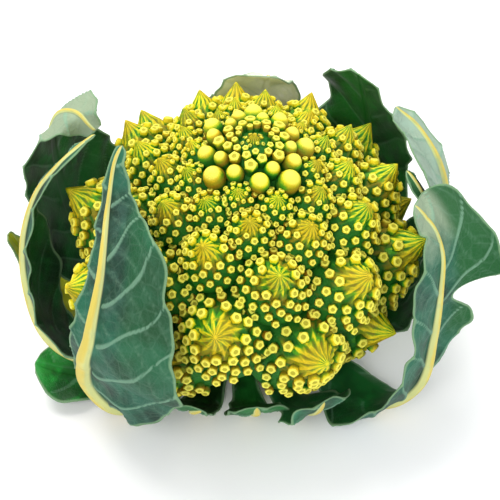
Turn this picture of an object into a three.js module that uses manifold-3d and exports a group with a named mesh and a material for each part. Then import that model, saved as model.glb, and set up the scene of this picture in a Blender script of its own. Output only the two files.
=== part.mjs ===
// A romanesco head on its cut stem, with the leaves that wrap it: millimetres, +Z up.
// The origin is the centre of the stem's flat cut face, which the head stands on.
// Azimuths are seen from above, counterclockwise, with 0 along +X; the front is along -Y.

import * as THREE from 'three';
import { mergeVertices } from 'three/addons/utils/BufferGeometryUtils.js';
import Module from 'manifold-3d';

const wasm = await Module();
wasm.setup();

// Driving sizes of the stem
const STEM_RADIUS = 26;
const STEM_HEIGHT = 27.7;
const STEM_SIDES = 24;
const STEM_CHAMFER = 1.5;
const STEM_TOP_RADIUS = 21;
const STEM_WALL_HEIGHT = 16.6;
const JOINT_GAP = 0.3;

// Driving sizes of the curd: the dome that the florets are seated on, and its pointed top
const WIDEST_LEVEL = 70;
const SEAT_RADIUS = 61;
const SEAT_RISE = 52;
const SEAT_DROP = 36;
const PEAK_HEIGHT = 16;
const PEAK_RADIUS = 26;
const APEX_LEAN = 7;
const APEX_FLORET = { radius: 0.3, level: 130.5, width: 12 };

// The core that carries the florets, inside the dome
const CORE_SHARE = 0.97;
const CORE_DEPTH = 1;
const CORE_STEPS = 10;
const CORE_SIDES = 20;
const NECK_RADIUS = 20;
const NECK_FLARE_RADIUS = 38;
const NECK_FLARE_LEVEL = 41.7;
const PROFILE_STEPS = 600;

// The florets follow the golden angle and grow with their distance from the apex
const GOLDEN_ANGLE = Math.PI * (3 - Math.sqrt(5));
const FLORET_GROWTH = 0.44;
const LARGEST_FLORET = 44;
const PACKED_WIDTH = 34;
const FIRST_SEAT = 7.5;
const FIRST_TURN = THREE.MathUtils.degToRad(156);
const LAST_POLAR_ANGLE = THREE.MathUtils.degToRad(124);
const HEXAGON_SHARE = Math.sqrt(3) / 2;
const FLORET_RADIUS = 0.58;
const FLORET_HEIGHT = 0.84;
const FLORET_ROOT = 0.34;
const ROOT_SHARE = 0.6;
const AXIS_LEAN = 0.58;
const BUD_HEIGHT = 0.18;
const BUD_DIP = 0.06;
const BUD_RISE = 2;
const TIP_SHARE = 0.16;
// Columns of the bud lattice round a floret, by the floret's width: a multiple of three
const LATTICES = [
  { over: 40, columns: 12 },
  { over: 25, columns: 9 },
  { over: 14, columns: 6 },
];
const PLAIN_SIDES = 6;
const PLAIN_RINGS = [{ share: 1, height: 0 }, { share: 0.62, height: 0.5 }];
const SMALL_SIDES = 5;
const SMALL_UNDER = 9;

// Room that the leaves keep round the middle of the curd
const CURD_REACH = 93;
const CURD_REACH_UP = 72;
const CURD_REACH_DOWN = 46;

// Driving sizes of a leaf
const BLADE_THICKNESS = 1.2;
const RIB_SHARES = [-1, -0.45, 0.45, 1];
const SMALLEST_WING = 1.6;
const MARGIN_REACH = 28;
const LOBE_SHIFT = 0.08;
const WAVE_SHIFT = 2;

const COLOURS = {
  stem: { color: 0xb9c48a, roughness: 0.6 },
  curd: { color: 0xc2c02e, roughness: 0.62 },
  outer: { color: 0x4f7f66, roughness: 0.6 },
  inner: { color: 0x1f5a24, roughness: 0.55 },
  pale: { color: 0xc9d2a4, roughness: 0.6 },
};

function material(look) {
  return new THREE.MeshStandardMaterial({ ...COLOURS[look], metalness: 0 });
}

function namedMesh(name, geometry, look) {
  const mesh = new THREE.Mesh(geometry, material(look));
  mesh.name = name;
  return mesh;
}

function indexedGeometry(points, faces) {
  const geometry = new THREE.BufferGeometry();
  geometry.setAttribute('position', new THREE.Float32BufferAttribute(points.flat(), 3));
  geometry.setIndex(faces.flat());
  return geometry;
}

function solidOf(geometry) {
  const bare = geometry.clone();
  bare.deleteAttribute('normal');
  bare.deleteAttribute('uv');
  const merged = mergeVertices(bare, 1e-4);
  return new wasm.Manifold(new wasm.Mesh({
    numProp: 3,
    vertProperties: new Float32Array(merged.attributes.position.array),
    triVerts: new Uint32Array(merged.index.array),
  }));
}

// The dome: its radius and level at a polar angle from the apex
function domePoint(angle) {
  const radius = SEAT_RADIUS * Math.sin(angle);
  const rise = Math.cos(angle) > 0 ? SEAT_RISE : SEAT_DROP;
  const peak = Math.cos(angle) > 0 ? PEAK_HEIGHT * Math.exp(-((radius / PEAK_RADIUS) ** 2)) : 0;
  return { radius, level: WIDEST_LEVEL + rise * Math.cos(angle) + peak };
}

// The head leans a little to +X as it rises
function leanAt(level) {
  return (APEX_LEAN * (level - WIDEST_LEVEL)) / (SEAT_RISE + PEAK_HEIGHT);
}

// The dome's profile measured by the distance along it from the apex
function measureDome() {
  const profile = [{ along: 0, ...domePoint(0) }];
  for (let i = 1; i <= PROFILE_STEPS; i += 1) {
    const last = profile[i - 1];
    const next = domePoint((LAST_POLAR_ANGLE * i) / PROFILE_STEPS);
    const along = last.along + Math.hypot(next.radius - last.radius, next.level - last.level);
    profile.push({ along, ...next });
  }
  return profile;
}

// One seat for each floret, on a golden-angle spiral that gives each its own share of the dome
function floretSeats() {
  const profile = measureDome();
  const seats = [{ turn: 0, slope: 0, ...APEX_FLORET }];
  let along = FIRST_SEAT;
  let place = 1;
  for (let n = 0; along < profile[profile.length - 1].along; n += 1) {
    while (profile[place].along < along) {
      place += 1;
    }
    const here = profile[place];
    const before = profile[place - 1];
    const width = Math.min(LARGEST_FLORET, FLORET_GROWTH * along);
    const slope = Math.atan2(before.level - here.level, here.radius - before.radius);
    seats.push({ turn: FIRST_TURN - n * GOLDEN_ANGLE, radius: here.radius, level: here.level, slope, width });
    const share = HEXAGON_SHARE * Math.min(width, PACKED_WIDTH) ** 2;
    along += share / (2 * Math.PI * here.radius);
  }
  return seats;
}

// Rings of a floret from its sunk root to its tip; every third lattice point is a bud's peak
function floretRings(width, columns) {
  const cone = Math.atan2(FLORET_RADIUS, FLORET_HEIGHT);
  const shrink = 1 - ((HEXAGON_SHARE * 2 * Math.PI) / columns) * Math.sin(cone);
  const rows = Math.ceil(Math.log(TIP_SHARE) / Math.log(shrink));
  const rings = [];
  for (let row = 0; row <= rows; row += 1) {
    const share = shrink ** row;
    const ring = [];
    for (let column = 0; column < columns; column += 1) {
      const turn = ((column + row / 2) * 2 * Math.PI) / columns;
      const peak = (column - row + 3 * columns) % 3 === 0;
      const lift = (peak ? BUD_HEIGHT : -BUD_DIP) * share * width * FLORET_RADIUS;
      const reach = FLORET_RADIUS * width * share + lift * Math.cos(cone);
      const height = FLORET_HEIGHT * width * (1 - share) + lift * Math.sin(cone) * BUD_RISE;
      ring.push([reach * Math.cos(turn), reach * Math.sin(turn), height]);
    }
    rings.push(ring);
  }
  return rings;
}

// Rings of a small floret without buds of its own
function plainRings(width) {
  const small = width < SMALL_UNDER;
  const sides = small ? SMALL_SIDES : PLAIN_SIDES;
  return PLAIN_RINGS.slice(0, small ? 1 : 2).map(({ share, height }, row) => {
    const ring = [];
    for (let side = 0; side < sides; side += 1) {
      const turn = ((side + row / 2) * 2 * Math.PI) / sides;
      const reach = FLORET_RADIUS * width * share;
      ring.push([reach * Math.cos(turn), reach * Math.sin(turn), FLORET_HEIGHT * width * height]);
    }
    return ring;
  });
}

// A closed floret, standing on the origin along +Z with its root sunk below it
function floretGeometry(width) {
  const lattice = LATTICES.find(({ over }) => width > over);
  const rings = lattice ? floretRings(width, lattice.columns) : plainRings(width);
  const columns = rings[0].length;
  const root = rings[0].map(([x, y]) => [x * ROOT_SHARE, y * ROOT_SHARE, -FLORET_ROOT * width]);
  const points = [root, ...rings].flat();
  const faces = [];
  for (let row = 0; row < rings.length; row += 1) {
    for (let column = 0; column < columns; column += 1) {
      const next = (column + 1) % columns;
      const low = row * columns;
      const high = low + columns;
      faces.push([low + column, low + next, high + column], [low + next, high + next, high + column]);
    }
  }
  const top = points.length;
  points.push([0, 0, FLORET_HEIGHT * width]);
  const bottom = points.length;
  points.push([0, 0, -FLORET_ROOT * width]);
  const last = rings.length * columns;
  for (let column = 0; column < columns; column += 1) {
    const next = (column + 1) % columns;
    faces.push([last + column, last + next, top], [next, column, bottom]);
  }
  return indexedGeometry(points, faces);
}

// The core that carries the florets: the dome a little smaller, drawn in to a neck at the stem
function coreGeometry() {
  const outline = [new THREE.Vector2(0, domePoint(0).level - CORE_DEPTH)];
  for (let i = 1; i <= CORE_STEPS; i += 1) {
    const { radius, level } = domePoint((LAST_POLAR_ANGLE * i) / CORE_STEPS);
    outline.push(new THREE.Vector2(radius * CORE_SHARE, level - CORE_DEPTH));
  }
  outline.push(new THREE.Vector2(NECK_FLARE_RADIUS, NECK_FLARE_LEVEL));
  outline.push(new THREE.Vector2(NECK_RADIUS, STEM_HEIGHT + JOINT_GAP));
  outline.push(new THREE.Vector2(0, STEM_HEIGHT + JOINT_GAP));
  const geometry = new THREE.LatheGeometry(outline.reverse(), CORE_SIDES);
  geometry.rotateX(Math.PI / 2);
  const position = geometry.attributes.position;
  for (let i = 0; i < position.count; i += 1) {
    position.setX(i, position.getX(i) + leanAt(position.getZ(i)));
  }
  return geometry;
}

// Only the outer skin of a joined solid is kept, so a hollow that joining sealed is filled
function outerSkin(solid) {
  const parts = solid.decompose();
  const volumes = parts.map((part) => part.volume());
  return parts[volumes.indexOf(Math.max(...volumes))];
}

function geometryOf(solid) {
  const mesh = solid.getMesh();
  const geometry = new THREE.BufferGeometry();
  geometry.setAttribute('position', new THREE.BufferAttribute(mesh.vertProperties, mesh.numProp));
  geometry.setIndex(new THREE.BufferAttribute(mesh.triVerts, 1));
  return geometry;
}

function makeCurd() {
  const pieces = [solidOf(coreGeometry())];
  for (const seat of floretSeats()) {
    const geometry = floretGeometry(seat.width);
    geometry.rotateZ(seat.turn);
    geometry.rotateY(seat.slope * AXIS_LEAN);
    geometry.translate(seat.radius, 0, seat.level);
    geometry.rotateZ(seat.turn);
    geometry.translate(leanAt(seat.level), 0, 0);
    pieces.push(solidOf(geometry));
  }
  return namedMesh('curd', geometryOf(outerSkin(wasm.Manifold.union(pieces))), 'curd');
}

function makeStem() {
  const outline = [
    new THREE.Vector2(0, 0),
    new THREE.Vector2(STEM_RADIUS - STEM_CHAMFER, 0),
    new THREE.Vector2(STEM_RADIUS, STEM_CHAMFER),
    new THREE.Vector2(STEM_RADIUS, STEM_WALL_HEIGHT),
    new THREE.Vector2(STEM_TOP_RADIUS, STEM_HEIGHT),
    new THREE.Vector2(0, STEM_HEIGHT),
  ];
  const geometry = new THREE.LatheGeometry(outline, STEM_SIDES);
  geometry.rotateX(Math.PI / 2);
  return namedMesh('stem', geometry, 'stem');
}

// A smooth run through evenly spaced values, at a share of the way from 0 to 1
function smoothRun(values, share) {
  const place = Math.min(share, 0.99999) * (values.length - 1);
  const i = Math.floor(place);
  const t = place - i;
  const [before, here, next, after] = [i - 1, i, i + 1, i + 2].map(
    (k) => values[THREE.MathUtils.clamp(k, 0, values.length - 1)],
  );
  const bend = 2 * before - 5 * here + 4 * next - after;
  const twist = 3 * (here - next) + after - before;
  return here + 0.5 * t * (next - before + t * (bend + t * twist));
}

// A point is moved straight out from the curd's middle until it is clear of the florets
function clearOfCurd(point, room) {
  const middle = new THREE.Vector3(leanAt(point.z), 0, WIDEST_LEVEL);
  const offset = point.clone().sub(middle);
  const reach = CURD_REACH + room;
  const rise = (offset.z > 0 ? CURD_REACH_UP : CURD_REACH_DOWN) + room;
  const share = Math.hypot(offset.x / reach, offset.y / reach, offset.z / rise);
  return share < 1 ? middle.add(offset.divideScalar(share)) : point;
}

// The signed distances from the rib's middle to the columns of a leaf's grid
function leafColumns(leaf, share) {
  const rib = smoothRun(leaf.ribWidth, share) / 2;
  const cw = Math.max(SMALLEST_WING, smoothRun(leaf.cw, share) * leafLobes(leaf, share));
  const ccw = Math.max(SMALLEST_WING, smoothRun(leaf.ccw, share) * leafLobes(leaf, share + LOBE_SHIFT));
  return [
    ...leaf.bladeShares.map((part) => -rib - cw * part),
    ...RIB_SHARES.map((part) => rib * part),
    ...leaf.bladeShares.map((part) => rib + ccw * part).reverse(),
  ];
}

function leafLobes(leaf, share) {
  return 1 + leaf.lobe * Math.sin(2 * Math.PI * leaf.lobes * share + leaf.phase);
}

// The middle surface of a leaf: across its rib it bends by its two curls, and its margins wave
function leafSurface(leaf) {
  const ribPoints = leaf.rib.map((point) => new THREE.Vector3(...point));
  const path = new THREE.CatmullRomCurve3(ribPoints, false, 'centripetal');
  const grid = [];
  for (let row = 0; row <= leaf.rows; row += 1) {
    const share = row / leaf.rows;
    const middle = path.getPointAt(share);
    const along = path.getTangentAt(share);
    const outward = middle.clone().sub(new THREE.Vector3(0, 0, WIDEST_LEVEL));
    outward.addScaledVector(along, -outward.dot(along)).normalize();
    const roll = THREE.MathUtils.degToRad(smoothRun(leaf.roll, share));
    outward.applyAxisAngle(along, roll);
    const across = along.clone().cross(outward);
    grid.push(leafColumns(leaf, share).map((offset) => {
      const curl = smoothRun(offset < 0 ? leaf.cwCurl : leaf.ccwCurl, share);
      const turn = offset * curl;
      const side = Math.abs(turn) < 1e-6 ? offset : Math.sin(turn) / curl;
      const bend = Math.abs(turn) < 1e-6 ? 0 : (1 - Math.cos(turn)) / curl;
      const margin = Math.min(1, Math.abs(offset) / MARGIN_REACH) ** 2;
      const phase = leaf.phase + (offset < 0 ? WAVE_SHIFT : 0);
      const wave = leaf.wave * margin * Math.sin(2 * Math.PI * leaf.waves * share + phase);
      const point = middle.clone().addScaledVector(across, side).addScaledVector(outward, wave - bend);
      return clearOfCurd(point, leaf.room);
    }));
  }
  return grid;
}

// The unit normal at each grid point, towards the leaf's outer face
function surfaceNormals(grid) {
  const last = grid.length - 1;
  return grid.map((line, row) => line.map((point, column) => {
    const along = grid[Math.min(row + 1, last)][column].clone().sub(grid[Math.max(row - 1, 0)][column]);
    const right = line[Math.min(column + 1, line.length - 1)];
    const across = right.clone().sub(line[Math.max(column - 1, 0)]);
    return across.cross(along).normalize();
  }));
}

// A closed leaf: an inner and an outer skin round the middle surface, the rib raised on the outer one
function leafGeometry(leaf) {
  const grid = leafSurface(leaf);
  const normals = surfaceNormals(grid);
  const columns = grid[0].length;
  const ribStart = leaf.bladeShares.length;
  const points = [];
  grid.forEach((line, row) => line.forEach((point, column) => {
    const crest = column === ribStart + 1 || column === ribStart + 2;
    const rib = crest ? smoothRun(leaf.ribHeight, row / leaf.rows) : 0;
    const outer = point.clone().addScaledVector(normals[row][column], BLADE_THICKNESS / 2 + rib);
    const inner = point.clone().addScaledVector(normals[row][column], -BLADE_THICKNESS / 2);
    points.push(outer.toArray(), inner.toArray());
  }));
  const outerAt = (row, column) => 2 * (row * columns + column);
  const faces = [];
  for (let row = 0; row < leaf.rows; row += 1) {
    for (let column = 0; column < columns - 1; column += 1) {
      const a = outerAt(row, column);
      const b = outerAt(row, column + 1);
      const c = outerAt(row + 1, column + 1);
      const d = outerAt(row + 1, column);
      faces.push([a, b, c], [a, c, d], [a + 1, c + 1, b + 1], [a + 1, d + 1, c + 1]);
    }
  }
  const border = [];
  for (let column = 0; column < columns - 1; column += 1) {
    border.push([outerAt(0, column), outerAt(0, column + 1)]);
    border.push([outerAt(leaf.rows, column + 1), outerAt(leaf.rows, column)]);
  }
  for (let row = 0; row < leaf.rows; row += 1) {
    border.push([outerAt(row + 1, 0), outerAt(row, 0)]);
    border.push([outerAt(row, columns - 1), outerAt(row + 1, columns - 1)]);
  }
  for (const [from, to] of border) {
    faces.push([to, from, from + 1], [to, from + 1, to + 1]);
  }
  return indexedGeometry(points, faces);
}

// What a leaf has unless its own line says otherwise; curls are 1/mm, positive towards the curd
const PLAIN_LEAF = {
  rows: 12,
  bladeShares: [1, 0.55],
  look: 'outer',
  ribWidth: [11, 11, 9.5, 7.5, 5, 3, 2],
  ribHeight: [6.5, 6, 5, 3.5, 2, 0.8],
  cwCurl: [0.011],
  ccwCurl: [0.011],
  roll: [0],
  wave: 4,
  waves: 2.6,
  lobe: 0.09,
  lobes: 3.5,
  phase: 0.4,
  room: 0,
};

// What the short leaves under the curd share instead
const SHORT_LEAF = {
  rows: 7,
  bladeShares: [1, 0.5],
  ribWidth: [8, 7, 5, 3],
  ribHeight: [4, 3.5, 2, 0.8],
  waves: 1.2,
};

// Each leaf: the path of its rib from the stem to the tip, and its half widths on either side of
// it seen from above, cw on the clockwise side and ccw on the counterclockwise side
const LEAVES = [
  {
    name: 'leaf_front_left',
    rib: [[-22, -21, 14], [-42, -38, 8.5], [-59, -50, 11], [-71, -55, 34], [-66, -69, 80],
      [-60, -57, 107], [-57, -33, 128], [-54, -22, 143], [-51, -18, 149]],
    cw: [2, 4, 6, 8, 9, 9, 8, 5, 3],
    ccw: [2, 10, 22, 32, 40, 41, 32, 16, 3],
    rows: 15,
    room: 4,
    phase: 1.2,
  },
  {
    name: 'leaf_left',
    rib: [[-28, -9, 19], [-54, -18, 16], [-78, -26, 21], [-93, -23, 32], [-101, -15, 56], [-101, -8, 83],
      [-94, 0, 104], [-80, 8, 119], [-67, 14, 128]],
    cw: [2, 8, 18, 24, 26, 25, 20, 11, 3],
    ccw: [2, 3, 6, 8, 9, 8, 6, 4, 2],
    cwCurl: [0.022],
  },
  {
    name: 'leaf_left_tip',
    rib: [[-29, 3, 12], [-60, 9, 8], [-88, 14, 14], [-103, 15, 34], [-109, 14, 50], [-115, 12, 65]],
    cw: [2, 4, 8, 10, 8, 2],
    ccw: [2, 4, 8, 10, 8, 2],
    ...SHORT_LEAF,
    rows: 9,
  },
  {
    name: 'leaf_left_low',
    rib: [[-29, -11, 6.5], [-48, -20, 5.5], [-68, -28, 7], [-87, -31, 12], [-102, -30, 17]],
    cw: [2, 3, 7, 17, 8],
    ccw: [2, 3, 6, 15, 8],
    roll: [0, -10, -35, -40],
    look: 'inner',
    ...SHORT_LEAF,
  },
  {
    name: 'leaf_back_left',
    rib: [[-25, 15, 18], [-50, 27, 14], [-74, 40, 22], [-89, 48, 50], [-93, 48, 82], [-92, 47, 103],
      [-87, 45, 115], [-78, 39, 120], [-68, 31, 115]],
    cw: [2, 8, 22, 34, 38, 34, 26, 18, 6],
    ccw: [2, 8, 18, 26, 28, 27, 24, 18, 6],
    room: 6,
    phase: 2.2,
  },
  {
    name: 'leaf_back',
    rib: [[4, 29, 16], [7, 56, 12], [10, 80, 24], [11, 92, 50], [12, 94, 76], [13, 91, 95], [14, 83, 107],
      [14, 72, 110]],
    cw: [2, 4, 10, 18, 22, 20, 17, 15, 8],
    ccw: [2, 6, 14, 26, 30, 30, 28, 22, 10],
    look: 'pale',
    room: 2,
    phase: 3.1,
  },
  {
    name: 'leaf_back_right',
    rib: [[19, 22, 17], [36, 42, 13], [54, 62, 22], [65, 71, 50], [66, 71, 84], [62, 69, 108], [58, 62, 126]],
    cw: [2, 4, 9, 20, 27, 28, 26, 23, 9],
    ccw: [2, 4, 8, 16, 22, 25, 27, 24, 9],
    look: 'inner',
    room: 3,
    lobe: 0.12,
    lobes: 4,
    phase: 0.9,
  },
  {
    name: 'leaf_right_back',
    rib: [[28, 9, 17], [52, 18, 13], [80, 24, 22], [97, 24, 50], [100, 22, 78], [96, 28, 98], [86, 38, 112],
      [75, 44, 120]],
    cw: [2, 4, 8, 12, 18, 30, 38, 32, 10],
    ccw: [2, 4, 8, 14, 15, 14, 10, 6, 3],
    roll: [0, 0, 0, 0, -5, -30, -45, -45],
    room: 6,
    phase: 4,
  },
  {
    name: 'leaf_right_small',
    rib: [[30, -2, 20], [56, -3, 19], [80, -6, 27], [93, -8, 52], [93, -8, 80], [86, -3, 102], [77, 4, 114]],
    cw: [2, 5, 9, 12, 13, 12, 4],
    ccw: [2, 5, 9, 12, 13, 12, 4],
    look: 'inner',
    ...SHORT_LEAF,
    rows: 9,
  },
  {
    name: 'leaf_right',
    rib: [[25.5, -15, 13], [48, -28, 8.5], [70, -46, 10], [85, -48, 25], [90, -43, 52], [92, -37, 77],
      [92, -30, 95], [87, -23, 106], [77, -20, 114]],
    cw: [2, 8, 19, 25, 29, 27, 21, 15, 8],
    ccw: [2, 2.5, 3.5, 5, 6, 6.5, 7, 9, 17, 26, 25, 11, 30, 37, 36, 24, 7],
    ccwCurl: [-0.04],
    rows: 16,
    room: 4,
    wave: 3.5,
    phase: 2.7,
  },
  {
    name: 'leaf_front_right',
    rib: [[12, -27, 10], [22, -42, 6], [30, -55, 14], [36, -68, 27], [39, -75, 42]],
    cw: [2, 4, 9, 15, 10],
    ccw: [2, 5, 10, 17, 10],
    ...SHORT_LEAF,
  },
  {
    name: 'leaf_front',
    rib: [[2, -30, 7], [4, -44, 6], [6, -56, 14], [8, -69, 27], [8, -75, 38]],
    cw: [2, 5, 9, 13, 8],
    ccw: [2, 4, 8, 13, 8],
    look: 'inner',
    ...SHORT_LEAF,
  },
  {
    name: 'leaf_front_small',
    rib: [[-12, -27, 7], [-16, -43, 6], [-20, -55, 14], [-22, -68, 27], [-18, -75, 36]],
    cw: [2, 4, 8, 12, 5],
    ccw: [2, 4, 7, 8, 3],
    look: 'inner',
    ...SHORT_LEAF,
  },
];

const head = new THREE.Group();
head.add(makeStem());
head.add(makeCurd());
for (const leaf of LEAVES) {
  const whole = { ...PLAIN_LEAF, ...leaf };
  head.add(namedMesh(whole.name, leafGeometry(whole), whole.look));
}

export default head;
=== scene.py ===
"""A romanesco head on its cut stem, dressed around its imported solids.

Lengths inside the shape functions are millimetres with +Z up, as in the solids; meshes are
written in metres. Azimuths are seen from above, counterclockwise from +X, and the front is -Y.
"""

import bpy
import numpy as np
from mathutils import Matrix, Vector


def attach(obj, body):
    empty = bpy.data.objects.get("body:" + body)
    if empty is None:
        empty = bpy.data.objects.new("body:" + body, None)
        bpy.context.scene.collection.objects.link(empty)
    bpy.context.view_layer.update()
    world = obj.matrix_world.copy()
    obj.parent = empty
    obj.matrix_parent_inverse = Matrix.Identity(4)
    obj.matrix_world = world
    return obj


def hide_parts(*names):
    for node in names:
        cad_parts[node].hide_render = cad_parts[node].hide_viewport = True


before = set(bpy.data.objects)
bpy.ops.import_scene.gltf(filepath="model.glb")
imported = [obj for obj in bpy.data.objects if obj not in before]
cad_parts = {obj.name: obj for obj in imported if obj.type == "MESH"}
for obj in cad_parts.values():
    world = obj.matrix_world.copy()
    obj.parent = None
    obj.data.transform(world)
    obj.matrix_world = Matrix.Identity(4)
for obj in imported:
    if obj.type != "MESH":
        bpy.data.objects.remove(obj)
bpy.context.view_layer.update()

bl_info = {
    "name": "Romanesco head",
    "version": (1, 0, 0),
    "blender": (4, 5, 0),
    "location": "3D View > Sidebar > Romanesco",
    "description": "Florets, leaves and stem of a romanesco head around its packed solids",
    "category": "Object",
}

MM = 0.001
GOLDEN_ANGLE = np.pi * (3 - np.sqrt(5))
HEXAGON_SHARE = np.sqrt(3) / 2

# The dome that carries the florets, as in the solids
WIDEST_LEVEL = 70.0
SEAT_RADIUS = 61.0
SEAT_RISE = 52.0
SEAT_DROP = 36.0
PEAK_HEIGHT = 16.0
PEAK_RADIUS = 26.0
APEX_LEAN = 7.0
FLORET_GROWTH = 0.44
LARGEST_FLORET = 44.0
PACKED_WIDTH = 34.0
FIRST_SEAT = 7.5
FIRST_TURN = np.radians(156)
LAST_POLAR_ANGLE = np.radians(124)
# The apex floret: its turn, radius, level, slope and width
APEX_FLORET = (0.0, 0.3, 130.5, 0.0, 12.0)

# The core under the florets and the stem
NECK_RADIUS = 20.0
CORE_COLUMNS = 120
FLUTES = 13
JOINT_GAP = 0.3
STEM_RADIUS = 26.0
STEM_HEIGHT = 27.7
STEM_COLUMNS = 96

# A floret's cone of width 1, and how far it tips with the dome's slope
FLORET_RADIUS = 0.58
FLORET_HEIGHT = 0.84
FLORET_ROOT = 0.34
AXIS_LEAN = 0.58
CONE = np.arctan2(FLORET_RADIUS, FLORET_HEIGHT)
SLANT = np.hypot(FLORET_RADIUS, FLORET_HEIGHT)
# Florets up to this width are one bud each, this share of their width across
SMALL_FLORET = 12.4
BUD_SHARE = 1.08
# Florets over this width have a bare ridged peak, this share of their slant long
PEAKED_FLORET = 11.5
PEAK_SHARE = 0.33
RIDGES = 12
# The rings of a cone, and how many of them are its sunk root
CONE_RINGS = 14
ROOT_RINGS = 3

# The forms of a bead of width 1: the width that its beads are over, its columns, 1 for knobs, 1
# for a dimple, the level of its middle, its weight when the beads are shared out to pieces, and
# the radius and level of its rings
BEAD_FORMS = (
    (7.8, 16, 0, 0, 0.87, 110, [(0.36, -0.3), (0.41, 0.0), (0.43, 0.22), (0.41, 0.44),
                                (0.34, 0.62), (0.24, 0.75), (0.13, 0.83), (0.05, 0.86)]),
    (3.4, 10, 1, 1, 0.66, 110, [(0.38, -0.3), (0.37, 0.1), (0.4, 0.5), (0.37, 0.68),
                                (0.28, 0.76), (0.15, 0.7)]),
    (2.0, 8, 1, 1, 0.66, 72, [(0.4, -0.3), (0.4, 0.1), (0.42, 0.44), (0.32, 0.68), (0.15, 0.72)]),
    (0.0, 6, 0, 1, 0.72, 42, [(0.4, -0.3), (0.42, 0.12), (0.4, 0.48), (0.2, 0.7)]),
)
BEAD_PIECES = ("curd_crown", "curd_shoulder", "curd_girdle", "curd_skirt", "curd_hem")
# The most beads of a floret, and the least width of one
MOST_BEADS = 260
LEAST_BEAD = 0.9

# Room that the leaves keep round the curd
CURD_REACH = 93.0
CURD_REACH_UP = 72.0
CURD_REACH_DOWN = 46.0


def paint(red, green, blue):
    """A colour given by its three screen values from 0 to 255, made linear."""
    values = np.array([red, green, blue]) / 255
    linear = np.where(values <= 0.04045, values / 12.92, ((values + 0.055) / 1.055) ** 2.4)
    return tuple(float(v) for v in linear)


def colour(name, description, red, green, blue):
    """A colour setting."""
    return bpy.props.FloatVectorProperty(
        name=name, description=description, subtype="COLOR", size=3, min=0, max=1,
        default=paint(red, green, blue),
    )


def distance(name, description, millimetres):
    """A length setting, shown in the scene's unit."""
    return bpy.props.FloatProperty(
        name=name, description=description, subtype="DISTANCE", unit="LENGTH",
        default=millimetres * MM, min=0,
    )


def amount(name, description, default, low=0.0, high=1.0, **more):
    """A plain number setting."""
    return bpy.props.FloatProperty(
        name=name, description=description, default=default, min=low, max=high, **more
    )


# ------------ settings


class CurdSettings(bpy.types.PropertyGroup):
    """Sizes and colours of the curd."""

    bead: distance("Bead", "Width of the largest beads on a floret", 7.4)
    least_bead: distance("Least bead", "Width of the beads on the smallest florets", 2.9)
    growth: amount("Growth", "How fast beads grow away from a floret's tip", 0.52, 0.2, 0.8)
    knob: amount("Knob", "How far the small knobs stand out, as a share of the bead", 0.03)
    # painted shade: the deep green of the gaps between the beads, which also fills the core and
    # the cones' lower parts
    gap: colour("Gap", "Deep green between the beads", 12, 98, 20)
    flank: colour("Flank", "Green of the beads' flanks", 76, 154, 18)
    top: colour("Top", "Yellow of the beads' tops", 244, 226, 26)
    # painted highlight: the pale ring near the top of every bead
    rim: colour("Rim", "Pale yellow ring round a bead's middle", 255, 244, 96)
    middle: colour("Middle", "Olive middle of a bead", 158, 142, 10)
    # painted shade: orange on the sheltered ridges
    orange_shade: colour("Warm", "Orange tint of sheltered ridges", 210, 132, 10)
    stalk: colour("Stalk", "Pale green of the branches under the florets", 176, 190, 120)


class LeafSettings(bpy.types.PropertyGroup):
    """Sizes and colours of the leaves."""

    step: distance("Step", "Spacing of the grid along a leaf", 1.25)
    vein_spacing: distance("Vein spacing", "Spacing of the side veins along the rib", 21)
    vein_width: distance("Vein width", "Half width of a side vein", 1.15)
    vein_height: distance("Vein height", "Height of a side vein on the outer face", 0.9)
    quilting: distance("Quilting", "How far the blade sinks between veins", 1.3)
    frill: distance("Frill", "Depth of the small waves of a margin", 0.8)
    rib: colour("Rib", "Cream yellow of the thick ribs", 200, 204, 132)
    rib_line: colour("Rib line", "Stronger yellow along the middle of a rib", 204, 186, 84)
    vein: colour("Vein", "Pale green of the veins", 124, 166, 138)
    margin: colour("Margin", "Pale rim of a blade", 116, 152, 112)
    pale: colour("Pale", "Outer face where a leaf folds over", 140, 158, 130)
    # painted shade: the deep green of an outer face turned away from the light
    deep: colour("Deep", "Green of an outer face that is turned away", 10, 84, 32)
    wax: colour("Wax", "Bloom of the outer faces", 150, 206, 190)


class StemSettings(bpy.types.PropertyGroup):
    """Colours of the cut stem."""

    skin: colour("Skin", "Pale green skin of the stem", 168, 184, 112)
    blotch: colour("Blotch", "Darker patches of the skin", 120, 146, 78)
    flesh: colour("Flesh", "Cream flesh of the cut face", 226, 226, 180)
    ring: colour("Ring", "Greener rim of the cut face", 196, 204, 140)
    stain: colour("Stain", "Brown stains of the cut face", 188, 168, 112)


class StageSettings(bpy.types.PropertyGroup):
    """Floor, lights and camera."""

    floor: colour("Floor", "Plain pale floor", 250, 250, 252)
    camera_distance: distance("Camera distance", "From the camera to the head's middle", 700)
    lens: amount("Lens", "Focal length of the camera", 103.7, 20, 300, unit="CAMERA")
    elevation: amount("Elevation", "How far the camera looks down", float(np.radians(45)), 0,
                      1.57, subtype="ANGLE")
    sky: amount("Sky", "Strength of the even light from all round", 0.45, 0, 3)
    key: amount("Key light", "Power of the main soft light", 12, 0, 100, unit="POWER")


# ------------ shader maths


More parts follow.
